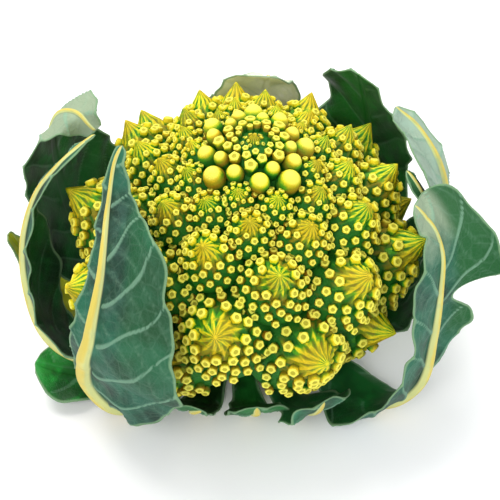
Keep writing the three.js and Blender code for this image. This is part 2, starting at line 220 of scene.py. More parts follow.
class Paint:
    """The node tree of one material, with one method that adds any node."""

    def __init__(self, name, roughness, **constants):
        self.material = bpy.data.materials.new(name)
        self.material.use_nodes = True
        self.tree = self.material.node_tree
        self.surface = self.tree.nodes["Principled BSDF"]
        self.surface.inputs["Roughness"].default_value = roughness
        for socket, value in constants.items():
            self.surface.inputs[socket.replace("_", " ")].default_value = value

    def node(self, kind, settings=None, **sockets):
        """A node of that type: its settings are set first, then the sockets' values or links."""
        made = self.tree.nodes.new(kind)
        for key, value in (settings or {}).items():
            if key == "stops":
                ramp = made.color_ramp
                while len(ramp.elements) < len(value):
                    ramp.elements.new(0.5)
                for element, (place, shade) in zip(ramp.elements, value):
                    element.position = place
                    element.color = (*shade, 1)
            else:
                setattr(made, key, value)
        for key, value in sockets.items():
            socket = made.inputs[int(key[1:]) if key[1:].isdigit() else key.replace("_", " ")]
            if isinstance(value, Value):
                self.tree.links.new(value.socket, socket)
            elif socket.type == "RGBA":
                socket.default_value = (*value, 1)
            else:
                socket.default_value = value
        return made

    def attribute(self, name, vector=False):
        """A point attribute of the piece, as a number or as a vector."""
        made = self.node("ShaderNodeAttribute", {"attribute_name": name})
        return Value(self, made.outputs["Vector" if vector else "Fac"])

    def place(self):
        """Object coordinates, in metres."""
        return Value(self, self.node("ShaderNodeTexCoord").outputs["Object"])

    def noise(self, scale, detail=3.0, vector=None):
        """Noise from 0 to 1 with features about 1/scale metres wide."""
        made = self.node(
            "ShaderNodeTexNoise", Vector=vector or self.place(), Scale=scale, Detail=detail,
            Roughness=0.55,
        )
        return Value(self, made.outputs["Fac"])

    def cells(self, scale, feature, vector=None):
        """Cell pattern: the distance to the nearest point, or to the nearest cell edge."""
        made = self.node(
            "ShaderNodeTexVoronoi", {"feature": feature}, Vector=vector or self.place(),
            Scale=scale,
        )
        return Value(self, made.outputs["Distance"])

    def ramp(self, value, stops):
        """A colour that runs through stops as value goes from 0 to 1."""
        made = self.node("ShaderNodeValToRGB", {"stops": stops}, Fac=value)
        return Value(self, made.outputs["Color"])

    def mix(self, share, first, second):
        """first where share is 0 or less, and second where it is 1 or more."""
        made = self.node(
            "ShaderNodeMix", {"data_type": "RGBA"}, _0=share, _6=first, _7=second
        )
        return Value(self, made.outputs[2])

    def step(self, value, low, high):
        """0 below low, 1 above high, and smooth between."""
        made = self.node(
            "ShaderNodeMapRange", {"interpolation_type": "SMOOTHSTEP"}, Value=value,
            From_Min=low, From_Max=high,
        )
        return Value(self, made.outputs["Result"])

    def finish(self, base, rough=None, height=None, reach=0.0004, strength=1.0):
        """Links colour, roughness and a bump of that reach in metres to the surface."""
        self.tree.links.new(base.socket, self.surface.inputs["Base Color"])
        if rough is not None:
            self.tree.links.new(rough.socket, self.surface.inputs["Roughness"])
        if height is not None:
            bump = self.node("ShaderNodeBump", Height=height, Distance=reach, Strength=strength)
            self.tree.links.new(bump.outputs["Normal"], self.surface.inputs["Normal"])
        return self.material


class Value:
    """A number's socket: arithmetic on it adds Math nodes."""

    def __init__(self, paint_tree, socket):
        self.paint = paint_tree
        self.socket = socket

    def math(self, operation, first, second):
        made = self.paint.node("ShaderNodeMath", {"operation": operation}, _0=first, _1=second)
        return Value(self.paint, made.outputs[0])

    def __add__(self, other):
        return self.math("ADD", self, other)

    def __radd__(self, other):
        return self.math("ADD", other, self)

    def __sub__(self, other):
        return self.math("SUBTRACT", self, other)

    def __rsub__(self, other):
        return self.math("SUBTRACT", other, self)

    def __mul__(self, other):
        return self.math("MULTIPLY", self, other)

    def __rmul__(self, other):
        return self.math("MULTIPLY", other, self)

    def clamp(self):
        """The value held between 0 and 1."""
        made = self.paint.node("ShaderNodeClamp", Value=self)
        return Value(self.paint, made.outputs[0])


# ------------ meshes


def make_piece(name, node, points, faces, attributes, material):
    """A smooth mesh from points in millimetres and quads or triangles, riding on root.

    faces is a list of whole arrays of corner indices, one array for each number of corners.
    """
    mesh = bpy.data.meshes.new(name)
    corners = np.concatenate([part.ravel() for part in faces])
    sizes = np.concatenate([np.full(len(part), part.shape[1]) for part in faces])
    starts = np.concatenate([[0], np.cumsum(sizes)[:-1]])
    mesh.vertices.add(len(points))
    mesh.vertices.foreach_set("co", (np.asarray(points) * MM).astype(np.float32).ravel())
    mesh.loops.add(len(corners))
    mesh.loops.foreach_set("vertex_index", corners.astype(np.int32))
    mesh.polygons.add(len(sizes))
    mesh.polygons.foreach_set("loop_start", starts.astype(np.int32))
    mesh.polygons.foreach_set("use_smooth", np.ones(len(sizes), bool))
    for key, values in attributes.items():
        values = np.asarray(values, np.float32)
        flat = values.ndim == 1
        kind = "FLOAT" if flat else "FLOAT_VECTOR"
        made = mesh.attributes.new(key, kind, "POINT")
        made.data.foreach_set("value" if flat else "vector", values.ravel())
    mesh.materials.append(material)
    mesh.update()
    mesh.validate()
    piece = bpy.data.objects.new(name, mesh)
    bpy.context.scene.collection.objects.link(piece)
    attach(piece, "root")
    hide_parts(node)
    return piece


def held(value):
    """The value held between 0 and 1."""
    return np.clip(value, 0, 1)


def bell(value):
    """A bell curve: 1 at zero, and e to the minus one at one."""
    return np.exp(-(value**2))


def unit(vectors):
    """The vectors made one long."""
    return vectors / np.maximum(np.linalg.norm(vectors, axis=-1, keepdims=True), 1e-9)


def turned_grid(rings, columns, stagger=0.0):
    """Ring numbers, column numbers and turns of a grid of rings about Z, each turned on from the
    ring before by a share of a column."""
    row, column = np.meshgrid(np.arange(rings), np.arange(columns), indexing="ij")
    return row, column, (column + row * stagger) * 2 * np.pi / columns


def ring_points(reach, turn, level):
    """The points of such a grid: reach times cosine and sine of the turn, at the level."""
    return np.stack([reach * np.cos(turn), reach * np.sin(turn), level], -1).reshape(-1, 3)


def ring_quads(rings, columns):
    """Quads between rings of points that close on themselves, the first ring lowest."""
    row, column = np.meshgrid(np.arange(rings - 1), np.arange(columns), indexing="ij")
    after = (column + 1) % columns
    low, high = row * columns, (row + 1) * columns
    return np.stack([low + column, low + after, high + after, high + column], -1).reshape(-1, 4)


def fan(first, columns, centre, upward=True):
    """Triangles from a closed ring, whose first point is given, to a centre point."""
    column = np.arange(columns)
    after = (column + 1) % columns
    pair = (column, after) if upward else (after, column)
    return np.stack([first + pair[0], first + pair[1], np.full(columns, centre)], -1)


def end_fans(rings, columns):
    """Both ends of a grid of rings closed: its last ring to the point after the grid, and its
    first ring to the point after that."""
    centre = rings * columns
    return np.concatenate([
        fan(centre - columns, columns, centre), fan(0, columns, centre + 1, upward=False),
    ])


def repeat_faces(faces, copies, points_each):
    """The same faces for every copy of a template."""
    shift = np.arange(copies)[:, None, None] * points_each
    return (faces[None] + shift).reshape(-1, faces.shape[1])


# ------------ curd


def dome_point(angle):
    """The dome at a polar angle from its apex: radius is 61 times the sine, level is 70 plus 52
    (36 below the widest part) times the cosine, plus a bell of 16 round the apex."""
    radius = SEAT_RADIUS * np.sin(angle)
    above = np.cos(angle) > 0
    peak = np.where(above, PEAK_HEIGHT * bell(radius / PEAK_RADIUS), 0)
    return radius, WIDEST_LEVEL + np.where(above, SEAT_RISE, SEAT_DROP) * np.cos(angle) + peak


def lean_at(level):
    """The head leans a little to +X as it rises."""
    return APEX_LEAN * (level - WIDEST_LEVEL) / (SEAT_RISE + PEAK_HEIGHT)


def floret_seats():
    """Seats on a golden-angle spiral down the dome: each floret's width grows with its distance
    along the profile, and each step down gives it a hexagon's area of that width."""
    radius, level = dome_point(np.linspace(0, LAST_POLAR_ANGLE, 601))
    run = np.concatenate([[0], np.cumsum(np.hypot(np.diff(radius), np.diff(level)))])
    seats = [APEX_FLORET]
    along = FIRST_SEAT
    while along < run[-1]:
        place = int(np.argmax(run >= along))
        width = min(LARGEST_FLORET, FLORET_GROWTH * along)
        slope = np.arctan2(level[place - 1] - level[place], radius[place] - radius[place - 1])
        turn = FIRST_TURN - (len(seats) - 1) * GOLDEN_ANGLE
        seats.append((turn, radius[place], level[place], slope, width))
        share = HEXAGON_SHARE * min(width, PACKED_WIDTH) ** 2
        along += share / (2 * np.pi * radius[place])
    return np.array(seats).T


def seat_frames(seats):
    """Turns and places of the florets: turned about Z, tipped outwards by 0.58 of the dome's
    slope, set on the dome and turned to its azimuth."""
    turn, radius, level, slope, _ = seats
    matrices = [
        np.array(Matrix.Rotation(t, 3, "Z") @ Matrix.Rotation(s * AXIS_LEAN, 3, "Y")
                 @ Matrix.Rotation(t, 3, "Z"))
        for t, s in zip(turn, slope)
    ]
    places = np.stack([radius * np.cos(turn) + lean_at(level), radius * np.sin(turn), level], -1)
    return np.array(matrices), places


def plain_florets(seats):
    """Which florets are one bud each: the small ones round the apex, which itself is not."""
    return (seats[4] <= SMALL_FLORET) & (np.arange(seats.shape[1]) > 0)


def bead_seats(seats, settings):
    """Beads on a golden-angle spiral down each floret's cone: their width is a share of the
    distance from the tip up to a largest width, so that the distance first grows by a constant
    factor and then as the root of the count. Bare peaks have none. Returns each bead's floret,
    slant distance, turn and width."""
    width = seats[4]
    largest = np.minimum(settings.bead / MM, settings.least_bead / MM + 0.1 * width)[:, None]
    growth = settings.growth
    factor = HEXAGON_SHARE * growth**2 / (2 * np.pi * np.sin(CONE))
    first = 0.05 * width[:, None] + 0.4
    bend = largest / growth
    count = np.log(bend / first) / factor
    n = np.arange(MOST_BEADS)[None]
    area = HEXAGON_SHARE * largest**2 / (np.pi * np.sin(CONE))
    far = np.sqrt(bend**2 + np.maximum(n - count, 0) * area)
    slant = np.where(n < count, first * np.exp(factor * np.minimum(n, count)), far)
    reached = slant < SLANT * width[:, None] * 0.97
    floret, index = np.nonzero(reached & ~plain_florets(seats)[:, None])
    slant = slant[floret, index]
    down = slant / (SLANT * width[floret])
    bead = np.minimum(growth * slant, largest[floret, 0]) * (1.04 - 0.3 * down)
    turn = -index * GOLDEN_ANGLE + seats[0][floret]
    kept = (width[floret] <= PEAKED_FLORET) | (down >= PEAK_SHARE)
    return floret[kept], slant[kept], turn[kept], np.maximum(bead, LEAST_BEAD)[kept]


def bead_frames(seats, floret, slant, turn):
    """Each bead's place on its floret's cone and its axis, between the cone's own normal and the
    floret's tip direction, as turns whose third column is that axis."""
    matrices, places = seat_frames(seats)
    width = seats[4][floret]
    radial = np.stack([np.cos(turn), np.sin(turn), np.zeros_like(turn)], -1)
    side = np.stack([-np.sin(turn), np.cos(turn), np.zeros_like(turn)], -1)
    up = np.array([0.0, 0.0, 1.0])
    height = FLORET_HEIGHT * width - slant * np.cos(CONE)
    foot = radial * (slant * np.sin(CONE))[:, None] + up * height[:, None]
    axis = radial * np.cos(CONE) + up * (np.sin(CONE) + 0.5)
    axis = unit(axis)
    basis = np.stack([side, np.cross(axis, side), axis], -1)
    turned = matrices[floret]
    world = np.einsum("nij,nj->ni", turned, foot) + places[floret]
    return world, np.einsum("nij,njk->nik", turned, basis)


def room_between(points, floret, seats):
    """How far each point is outside the nearest cone of another floret, in millimetres;
    below zero it is inside it."""
    matrices, places = seat_frames(seats)
    width = seats[4]
    nearest = np.full(len(points), 99.0)
    for other in range(len(width)):
        local = (points - places[other]) @ matrices[other]
        reach = FLORET_RADIUS * width[other] * (1 - local[:, 2] / (FLORET_HEIGHT * width[other]))
        out = (np.hypot(local[:, 0], local[:, 1]) - reach) * np.cos(CONE)
        near = (local[:, 2] > -FLORET_ROOT * width[other]) & (floret != other)
        nearest = np.minimum(nearest, np.where(near, out, 99.0))
    return nearest


def bead_template(form, knob):
    """A bead of one of the forms, standing on the origin: rings that are each turned on by half a
    column, their points moved out and in by turns so that they form staggered knobs."""
    _, columns, knobs, dimple, top, _, profile = form
    radius, height = np.array(profile).T
    rings = len(radius)
    row, column, turn = turned_grid(rings, columns, 0.5)
    knob = knob * knobs
    lift = np.where(column % 2 == 0, knob, -knob) * ((row > 0) & (row < rings - 2))
    points = ring_points(radius[row] + lift, turn, height[row] + lift * 0.5)
    return {
        "points": np.concatenate([points, [[0, 0, top]]]),
        "quads": ring_quads(rings, columns),
        "cap": fan((rings - 1) * columns, columns, rings * columns),
        "rise": np.append(held(height[row] / 0.72), 1),
        "middle": np.append(np.where(row == rings - 1, 0.85, 0), 1) * dimple,
        "knob": np.append(lift / max(knob, 1e-6), 0),
        "shade": np.zeros(row.size + 1), "stalk": np.zeros(row.size + 1),
    }


def set_copies(places, turns, sizes, shade, template):
    """Points, faces and attributes of a template scaled to every size, turned and set at every
    place; each copy's shade is added to the template's."""
    local = template["points"][None] * sizes[:, None, None]
    points = np.einsum("nij,npj->npi", turns, local) + places[:, None]
    copies, each = points.shape[:2]
    quads = repeat_faces(template["quads"], copies, each)
    caps = repeat_faces(template["cap"], copies, each)
    attributes = {key: np.tile(template[key], copies)
                  for key in ("rise", "middle", "knob", "shade", "stalk")}
    attributes["shade"] = attributes["shade"] + np.repeat(shade, each)
    return points.reshape(-1, 3), quads, caps, attributes


def join_parts(parts):
    """Several (points, quads, triangles, attributes) as one."""
    shift = np.cumsum([0] + [len(part[0]) for part in parts[:-1]])
    points = np.concatenate([part[0] for part in parts])
    quads = np.concatenate([part[1] + s for part, s in zip(parts, shift)])
    caps = np.concatenate([part[2] + s for part, s in zip(parts, shift)])
    attributes = {k: np.concatenate([part[3][k] for part in parts]) for k in parts[0][3]}
    return points, quads, caps, attributes


def floret_cones(seats):
    """The cones under the beads: rings from the sunk root over the base to the tip, a little
    fuller than straight between them, with ridges and steps that grow towards the tip."""
    seats = seats[:, ~plain_florets(seats)]
    matrices, places = seat_frames(seats)
    rings, columns = CONE_RINGS, 3 * RIDGES
    share = np.concatenate([[0.25, 0.6, 0.86], np.linspace(1, 0.05, rings - ROOT_RINGS)])
    height = np.concatenate([[-0.4, -0.28, -0.1], 1 - share[ROOT_RINGS:]])
    stalk = np.concatenate([[1, 1, 0.75], np.zeros(rings - ROOT_RINGS)])
    row, _, turn = turned_grid(rings, columns, 0.5)
    share, height = share[row], height[row]
    cone, comb = row >= ROOT_RINGS, np.cos(RIDGES * turn)
    bulge = np.where(cone, 1 + 0.05 * np.sin(np.pi * share), 1)
    ridge = 0.14 * comb * cone * held(1.4 - 2 * share)
    step = 0.1 * (row % 2) * (share < 0.5)
    level = np.where(height < 0, height, FLORET_HEIGHT * height)
    level = level + 0.03 * held(1 - share / 0.5) * cone
    unit = ring_points(FLORET_RADIUS * share * (bulge + ridge + step), turn, level)
    unit = np.concatenate([unit, [[0, 0, FLORET_HEIGHT + 0.02], [0, 0, -0.42]]])
    # painted light and shade: a cone's peak and the crests of its ridges are painted lit, its
    # furrows and every other step darker; lit becomes the cone's rise and adds to its shade
    lit = np.clip(1.35 - 2 * share, 0, 0.72) + 0.25 * comb - 0.12 * (row % 2)
    lit = np.clip(np.append(lit * (row > ROOT_RINGS + 1), [0.85, 0]), 0, 0.85)
    return set_copies(places, matrices, seats[4], np.full(len(places), 0.5), {
        "points": unit, "quads": ring_quads(rings, columns), "cap": end_fans(rings, columns),
        "rise": lit, "middle": 0 * lit, "knob": 0 * lit, "shade": 0.3 * lit,
        "stalk": np.append(stalk[row], [0, 1]),
    })


def core_surface():
    """The core: the dome drawn in to its neck, with flutes below where the branches leave."""
    columns = CORE_COLUMNS
    radius, level = dome_point(np.linspace(0.04, LAST_POLAR_ANGLE, 26))
    radius, level = radius * 0.97, level - 1
    neck = np.linspace(0, 1, 10)[1:]
    radius = np.append(radius, radius[-1] + (NECK_RADIUS - radius[-1]) * neck**0.8)
    level = np.append(level, level[-1] + (STEM_HEIGHT + JOINT_GAP - level[-1]) * neck)
    radius, level = radius[::-1], level[::-1]
    rings = len(radius)
    row, _, turn = turned_grid(rings, columns)
    depth = held((52 - level[row]) / 14) * held((level[row] - 28) / 5)
    reach = radius[row] * (1 + 0.07 * depth * np.sin(FLUTES * turn + 0.06 * level[row]))
    points = ring_points(reach, turn, level[row])
    points = np.concatenate([points, [[0, 0, level[-1] + 0.3], [0, 0, level[0]]]])
    points[:, 0] += lean_at(points[:, 2])
    none = np.zeros(len(points))
    attributes = {
        "rise": none, "middle": none, "knob": none, "shade": none + 0.5,
        "stalk": held((56 - points[:, 2]) / 16),
    }
    return points, ring_quads(rings, columns), end_fans(rings, columns), attributes


def curd_material(settings):
    """Painted shade of deep green in the gaps and of orange on sheltered ridges, yellow tops with
    a pale ring round an olive middle as a painted highlight, and a fine grain of the smallest
    buds."""
    net = Paint("curd_finish", 0.55, Specular_IOR_Level=0.3)
    rise, middle, knob, shade, stalk = (
        net.attribute(name) for name in ("rise", "middle", "knob", "shade", "stalk")
    )
    broad, fine = net.noise(55, 2.0), net.noise(900, 3.0)
    grain = net.cells(1500, "F1")
    # painted shade: a bead runs from deep green low down in the gaps to yellow at its top, and
    # sinks towards the deep green where its painted shade is deep
    height = (rise * 0.9 + knob * 0.05 + (broad - 0.5) * 0.3 + (fine - 0.5) * 0.14
              + (shade - 0.55) * 0.8).clamp()
    body = net.ramp(height, [
        (0.0, settings.gap), (0.44, settings.gap), (0.62, settings.flank),
        (0.8, settings.top), (1.0, settings.top),
    ])
    # painted shade: orange in random patches on the beads' flanks, strongest where their painted
    # shade is deepest
    orange_shade = net.step(net.noise(80, 2.0), 0.4, 0.6) * net.step(rise, 0.1, 0.5) * (1.3 - shade)
    body = net.mix(orange_shade * 0.65, body, settings.orange_shade)
    # painted highlight: a pale ring near each bead's top
    body = net.mix(net.step(rise, 0.86, 0.98) * 0.85, body, settings.rim)
    body = net.mix(net.step(middle, 0.3, 0.9) * 0.8, body, settings.middle)
    body = net.mix(stalk * (1 - rise), body, settings.stalk)
    body = net.mix(net.step(grain, 0.1, 0.6) * 0.14, body, settings.flank)
    rough = 0.48 + fine * 0.25
    relief = fine * 0.4 - grain
    return net.finish(body, rough, relief, reach=0.00035, strength=0.7)


def build_curd(settings):
    """The core, and the beads in pieces that each hold a run of florets down the spiral. A bead
    gets painted light and shade from the room round it, its distance from its floret's tip and
    which way it leans, and is left out where it would lie inside another floret."""
    seats = floret_seats()
    material = curd_material(settings)
    base = join_parts([core_surface(), floret_cones(seats)])
    make_piece("curd_core", "curd", base[0], base[1:3], base[3], material)
    floret, slant, turn, bead = bead_seats(seats, settings)
    world, basis = bead_frames(seats, floret, slant, turn)
    tips = world + basis[:, :, 2] * (0.5 * bead)[:, None]
    space = room_between(tips, floret, seats)
    # painted light and shade: a bead is lighter where it faces up or back towards the key light,
    # has room round it or sits near its floret's tip, and darker in the valleys and towards the
    # root; each floret also gets a little random tone
    upward = 0.5 + 0.5 * basis[:, 2, 2]
    back = held(0.5 + 0.5 * basis[:, 1, 2])
    open_share = held(space / (0.1 + 0.24 * seats[4][floret]))
    down = slant / (SLANT * seats[4][floret])
    shade = 0.14 + 0.15 * upward + 0.5 * open_share - 0.28 * down + 0.32 * back
    shade = held(shade + 0.05 * np.sin(7.1 * floret))
    single = plain_florets(seats)
    frames, places = seat_frames(seats)
    half = np.full(single.sum(), 0.5)
    world, basis, bead, shade, shown = (np.concatenate(pair) for pair in (
        (world, places[single]), (basis, frames[single]), (bead, BUD_SHARE * seats[4][single]),
        (shade, half), (space > -0.5, half > 0),
    ))
    templates = [bead_template(form, settings.knob) for form in BEAD_FORMS]
    over, *_, weight, _ = zip(*BEAD_FORMS)
    kind = np.sum([bead <= width for width in over], 0)
    total = np.cumsum(np.array(weight)[kind] * shown)
    pieces = len(BEAD_PIECES)
    band = np.minimum(total * pieces // (total[-1] + 1), pieces - 1).astype(int)
    for index, name in enumerate(BEAD_PIECES):
        parts = []
        for number, template in enumerate(templates):
            mine = shown & (band == index) & (kind == number)
            if mine.any():
                parts.append(set_copies(
                    world[mine], basis[mine], bead[mine], shade[mine], template
                ))
        points, quads, caps, attributes = join_parts(parts)
        make_piece(name, "curd", points, [quads, caps], attributes, material)


# ------------ leaves

PLAIN_LEAF = {
    "look": "blue",
    "rib_width": [11, 11, 9.5, 7.5, 5, 3, 2], "rib_height": [6.5, 6, 5, 3.5, 2, 0.8],
    "cw_curl": [0.011], "ccw_curl": [0.011], "roll": [0], "wave": 4, "waves": 2.6,
    "lobe": 0.09, "lobes": 3.5, "phase": 0.4, "room": 0, "fold": 2.0, "turned": 0.0,
}
SHORT_LEAF = {"rib_width": [8, 7, 5, 3], "rib_height": [4, 3.5, 2, 0.8], "waves": 1.2}

# How far a leaf's heel ends inside the stem, and where its rows lie
HEEL_DEPTH = 3.0
HEEL_ROWS = np.array([1, 0.67, 0.33])
# Columns of a leaf's grid over its rib, and on each side of it: a millimetre, least and most
RIB_COLUMNS = 11
BLADE_COLUMNS = (0.85, 10, 33)
# Half a blade's thickness at its margin, what it gains further in, and over how much
MARGIN_HALF = 0.28
BLADE_GAIN = 0.26
GAIN_REACH = 6


def leaf_row(name, rib, cw, ccw=None, **own):
    """A leaf's own values and else the plain leaf's; both sides are alike where one is given."""
    return {**PLAIN_LEAF, "name": name, "rib": rib, "cw": cw, "ccw": ccw or cw, **own}


# Each leaf: its rib's path from the stem to the tip and its half widths on either side of it
# seen from above, cw clockwise and ccw counterclockwise; fold is the share of its length where
# its outer face turns pale, and turned is how strong the painted shade of deep green on its
# counterclockwise part is
LEAVES = [
    leaf_row("leaf_front_left", turned=0.5, room=4, phase=1.2,
         rib=[[-22, -21, 14], [-42, -38, 8.5], [-59, -50, 11], [-71, -55, 34], [-66, -69, 80],
              [-60, -57, 107], [-57, -33, 128], [-54, -22, 143], [-51, -18, 149]],
         cw=[2, 4, 6, 8, 9, 9, 8, 5, 3], ccw=[2, 10, 22, 32, 40, 41, 32, 16, 3]),
    leaf_row("leaf_left", cw_curl=[0.022],
         rib=[[-28, -9, 19], [-54, -18, 16], [-78, -26, 21], [-93, -23, 32], [-101, -15, 56],
              [-101, -8, 83], [-94, 0, 104], [-80, 8, 119], [-67, 14, 128]],
         cw=[2, 8, 18, 24, 26, 25, 20, 11, 3], ccw=[2, 3, 6, 8, 9, 8, 6, 4, 2]),
    leaf_row("leaf_left_tip", look="lime", **SHORT_LEAF,
         rib=[[-29, 3, 12], [-60, 9, 8], [-88, 14, 14], [-103, 15, 34], [-109, 14, 50],
              [-115, 12, 65]], cw=[2, 4, 8, 10, 8, 2]),
    leaf_row("leaf_left_low", look="green", roll=[0, -10, -35, -40], **SHORT_LEAF,
         rib=[[-29, -11, 6.5], [-48, -20, 5.5], [-68, -28, 7], [-87, -31, 12], [-102, -30, 17]],
         cw=[2, 3, 7, 17, 8], ccw=[2, 3, 6, 15, 8]),
    leaf_row("leaf_back_left", fold=0.72, room=6, phase=2.2,
         rib=[[-25, 15, 18], [-50, 27, 14], [-74, 40, 22], [-89, 48, 50], [-93, 48, 82],
              [-92, 47, 103], [-87, 45, 115], [-78, 39, 120], [-68, 31, 115]],
         cw=[2, 8, 22, 34, 38, 34, 26, 18, 6], ccw=[2, 8, 18, 26, 28, 27, 24, 18, 6]),
    leaf_row("leaf_back", look="pale", room=2, phase=3.1,
         rib=[[4, 29, 16], [7, 56, 12], [10, 80, 24], [11, 92, 50], [12, 94, 76], [13, 91, 95],
              [14, 83, 107], [14, 72, 110]], cw=[2, 4, 10, 18, 22, 20, 17, 15, 8],
         ccw=[2, 6, 14, 26, 30, 30, 28, 22, 10]),
    leaf_row("leaf_back_right", look="dark", room=3, lobe=0.12, lobes=4, phase=0.9,
         rib=[[19, 22, 17], [36, 42, 13], [54, 62, 22], [65, 71, 50], [66, 71, 84], [62, 69, 108],
              [58, 62, 126]], cw=[2, 4, 9, 20, 27, 28, 26, 23, 9],
         ccw=[2, 4, 8, 16, 22, 25, 27, 24, 9]),
    leaf_row("leaf_right_back", look="hood", roll=[0, 0, 0, 0, -5, -30, -45, -45], room=6, phase=4,
         rib=[[28, 9, 17], [52, 18, 13], [80, 24, 22], [97, 24, 50], [100, 22, 78], [96, 28, 98],
              [86, 38, 112], [75, 44, 120]], cw=[2, 4, 8, 12, 18, 30, 38, 32, 10],
         ccw=[2, 4, 8, 14, 15, 14, 10, 6, 3]),
    leaf_row("leaf_right_small", look="dark", **SHORT_LEAF,
         rib=[[30, -2, 20], [56, -3, 19], [80, -6, 27], [93, -8, 52], [93, -8, 80], [86, -3, 102],
              [77, 4, 114]], cw=[2, 5, 9, 12, 13, 12, 4]),
    leaf_row("leaf_right", fold=0.86, turned=0.95, room=4, wave=3.5, phase=2.7,
         rib=[[25.5, -15, 13], [48, -28, 8.5], [70, -46, 10], [85, -48, 25], [90, -43, 52],
              [92, -37, 77], [92, -30, 95], [87, -23, 106], [77, -20, 114]],
         cw=[2, 8, 19, 25, 29, 27, 21, 15, 8],
         ccw=[2, 2.5, 3.5, 5, 6, 6.5, 7, 9, 17, 26, 25, 11, 30, 37, 36, 24, 7], ccw_curl=[-0.04]),
    leaf_row("leaf_front_right", look="bright", **SHORT_LEAF,
         rib=[[12, -27, 10], [22, -42, 6], [30, -55, 14], [36, -68, 27], [39, -75, 42]],
         cw=[2, 4, 9, 15, 10], ccw=[2, 5, 10, 17, 10]),
    leaf_row("leaf_front", look="dark", **SHORT_LEAF,
         rib=[[2, -30, 7], [4, -44, 6], [6, -56, 14], [8, -69, 27], [8, -75, 38]],
         cw=[2, 5, 9, 13, 8], ccw=[2, 4, 8, 13, 8]),
    leaf_row("leaf_front_small", look="dark", **SHORT_LEAF,
         rib=[[-12, -27, 7], [-16, -43, 6], [-20, -55, 14], [-22, -68, 27], [-18, -75, 36]],
         cw=[2, 4, 8, 12, 5], ccw=[2, 4, 7, 8, 3]),
]

# The leaves' looks: outer and inner colours, how much waxy bloom the outer face has, and the slot
LOOKS = {
    "blue": (paint(18, 92, 66), paint(16, 96, 38), 0.2, "leaf_outer"),
    "dark": (paint(30, 120, 48), paint(12, 98, 28), 0.05, "leaf_inner"),
    "lime": (paint(206, 186, 30), paint(172, 176, 34), 0.0, "leaf_outer"),
    "pale": (paint(238, 242, 216), paint(240, 246, 216), 0.0, "leaf_pale"),
    "green": (paint(30, 130, 52), paint(26, 138, 48), 0.0, "leaf_inner"),
    "hood": (paint(150, 172, 152), paint(20, 92, 44), 0.3, "leaf_outer"),
    "bright": (paint(34, 132, 84), paint(24, 110, 50), 0.2, "leaf_outer"),
}
# Looks brighter than this sum of their outer colour get weak shadows
BRIGHT_LOOK = 0.7


def smooth_run(values, share):
    """A Catmull-Rom run through evenly spaced values, at shares of the way from 0 to 1."""
    values = np.asarray(values, float)
    place = np.minimum(share, 0.99999) * (len(values) - 1)
    start = np.floor(place).astype(int)
    t = place - start
    before, here, after, last = (
        values[np.clip(start + k, 0, len(values) - 1)] for k in (-1, 0, 1, 2)
    )
    bend = 2 * before - 5 * here + 4 * after - last
    twist = 3 * (here - after) + last - before
    return here + 0.5 * t * (after - before + t * (bend + t * twist))


def rib_path(points, shares):
    """A centripetal Catmull-Rom curve through the points, read at even shares of its length:
    the places, the unit directions and the whole length."""
    p = np.asarray(points, float)
    p = np.vstack([2 * p[0] - p[1], p, 2 * p[-1] - p[-2]])
    step = np.linalg.norm(np.diff(p, axis=0), axis=1) ** 0.5
    t = np.linspace(0, 1, 101)[None, :, None]
    a, b, c, d = (p[k : len(p) - 3 + k][:, None] for k in range(4))
    before, own, after = (step[k : len(step) - 2 + k][:, None, None] for k in range(3))
    start = ((b - a) / before - (c - a) / (before + own) + (c - b) / own) * own
    end = ((c - b) / own - (d - b) / (own + after) + (d - c) / after) * own
    curve = b + t * start + t**2 * (3 * (c - b) - 2 * start - end)
    curve = (curve + t**3 * (2 * (b - c) + start + end)).reshape(-1, 3)
    run = np.concatenate([[0], np.cumsum(np.linalg.norm(np.diff(curve, axis=0), axis=1))])
    keep = np.concatenate([[True], np.diff(run) > 1e-9])
    run, curve = run[keep], curve[keep]
    length = run[-1]

    def at(where):
        return np.stack([np.interp(where * length, run, curve[:, k]) for k in range(3)], -1)

    along = at(np.minimum(shares + 0.004, 1)) - at(np.maximum(shares - 0.004, 0))
    return at(shares), unit(along), length


def clear_of_curd(points, room):
    """Points inside the egg round the curd are moved straight out to it."""
    middle = np.zeros_like(points)
    middle[..., 0] = lean_at(points[..., 2])
    middle[..., 2] = WIDEST_LEVEL
    offset = points - middle
    rise = np.where(offset[..., 2] > 0, CURD_REACH_UP, CURD_REACH_DOWN) + room
    reach = CURD_REACH + room
    share = np.sqrt(
        (offset[..., 0] / reach) ** 2 + (offset[..., 1] / reach) ** 2
        + (offset[..., 2] / rise) ** 2
    )
    out = offset / np.maximum(share, 1e-6)[..., None]
    return np.where((share < 1)[..., None], middle + out, points)


def vein_pattern(along, away, side, leaf, settings, wing):
    """Side veins: lines that leave the rib at a spacing and climb with the distance from it,
    alternating between the sides; a second, weaker set crosses them. Returns both from 0 to 1, and
    the distance to the nearest side vein."""
    spacing = settings.vein_spacing / MM
    width = settings.vein_width / MM * np.clip(1 - 0.45 * away / wing, 0.6, 1)
    wander = 1.6 * np.sin(0.11 * along + 2.1 * side + leaf["phase"]) + 0.9 * np.sin(0.31 * away)
    foot = along - 0.72 * away - 0.006 * away**2 + wander
    lines = foot / spacing + 0.25 * side
    gap = np.abs(lines - np.round(lines)) * spacing * 0.8
    cross = (along + 0.9 * away + 2.2 * np.sin(0.2 * away + leaf["phase"])) / (spacing * 0.55)
    small = np.abs(cross - np.round(cross)) * spacing * 0.55 * 0.74
    weak = 0.55 * bell(small / (0.6 * width)) * held(away / 4) * held(gap / 3)
    return bell(gap / width) * held(away / 1.5), weak, gap


